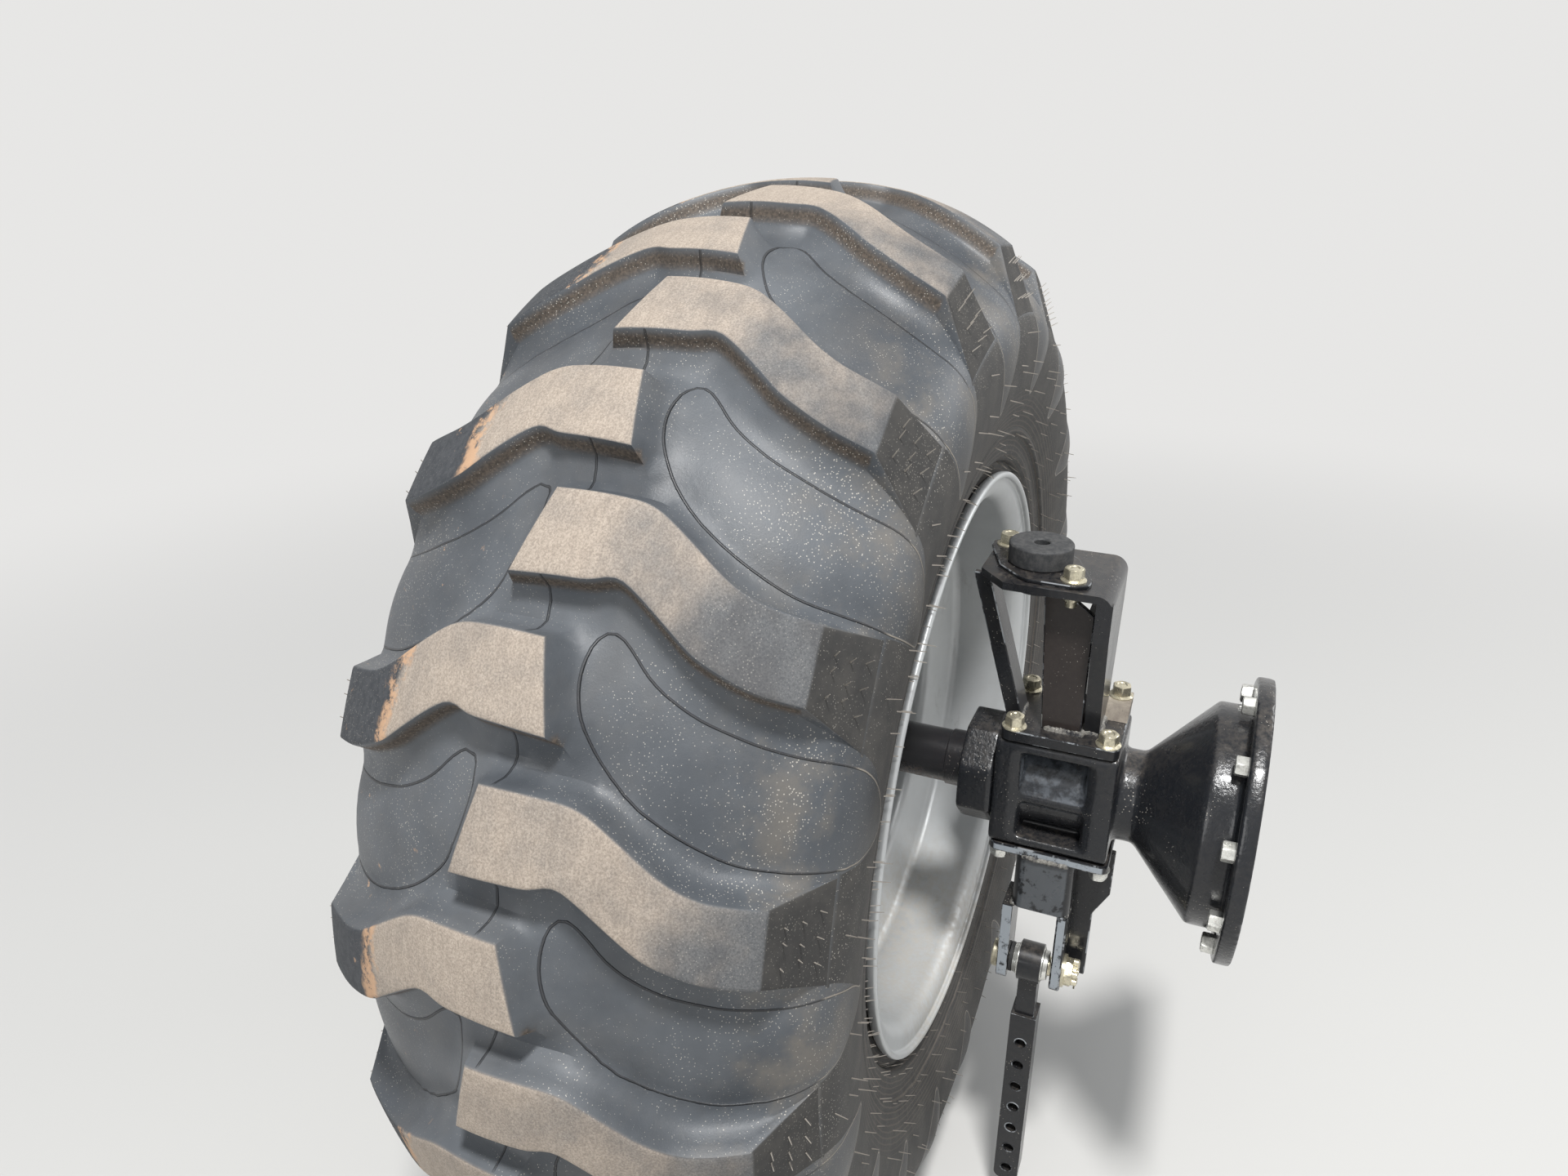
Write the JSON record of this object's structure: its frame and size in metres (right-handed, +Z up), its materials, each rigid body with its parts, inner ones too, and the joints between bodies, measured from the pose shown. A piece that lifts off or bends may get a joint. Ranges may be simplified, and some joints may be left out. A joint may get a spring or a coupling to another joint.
{
  "type": "tractor rear wheel and axle",
  "caption": "Lugged rear tyre on a steel rim and disc, with its axle shaft, axle housing, rubber-mount pedestal and stabiliser bracket.",
  "frame": {"origin": "centre of the axle housing's inner flange face", "axes": "+Y along the axle, outboard to the wheel; +X forward; +Z up"},
  "size_m": [1.2366, 0.7275, 1.2366],
  "materials": {
    "tyre_rubber": "dusty",
    "rim_silver": "satin",
    "dark_steel": "gloss",
    "black_casting": "gloss paint",
    "black_paint": "gloss",
    "mount_rubber": "matte",
    "zinc_steel": "yellow zinc"
  },
  "bodies": {
    "axle": {"axle_housing": "black_casting", "bearing_cap": "black_casting", "pedestal_base": "black_paint", "saddle_block": "black_casting", "pedestal_frame": "black_paint", "pedestal_web": "black_paint", "pedestal_brace": "black_paint", "mount_flange": "black_paint", "mount_rubber": "mount_rubber", "bracket_plate": "black_paint", "bracket_channel": "black_paint", "bracket_ear_inner": "black_paint", "bracket_ear_outer": "black_paint", "bracket_gusset": "black_paint", "stabiliser_pin": "zinc_steel"},
    "wheel": {"tyre": "tyre_rubber", "rim": "rim_silver", "wheel_disc": "rim_silver", "axle_shaft": "dark_steel"},
    "stabiliser": {"stabiliser_bar": "black_paint"}
  },
  "joints": [
    {"name": "wheel_spin", "type": "hinge", "parent": "axle", "child": "wheel", "pos_m": [0, 0.505, 0], "axis": [0, 1, 0], "continuous": true},
    {"name": "stabiliser_swing", "type": "hinge", "parent": "axle", "child": "stabiliser", "pos_m": [-0.035, 0.2015, -0.231], "axis": [0, 1, 0], "range_deg": [-25, 60]}
  ]
}
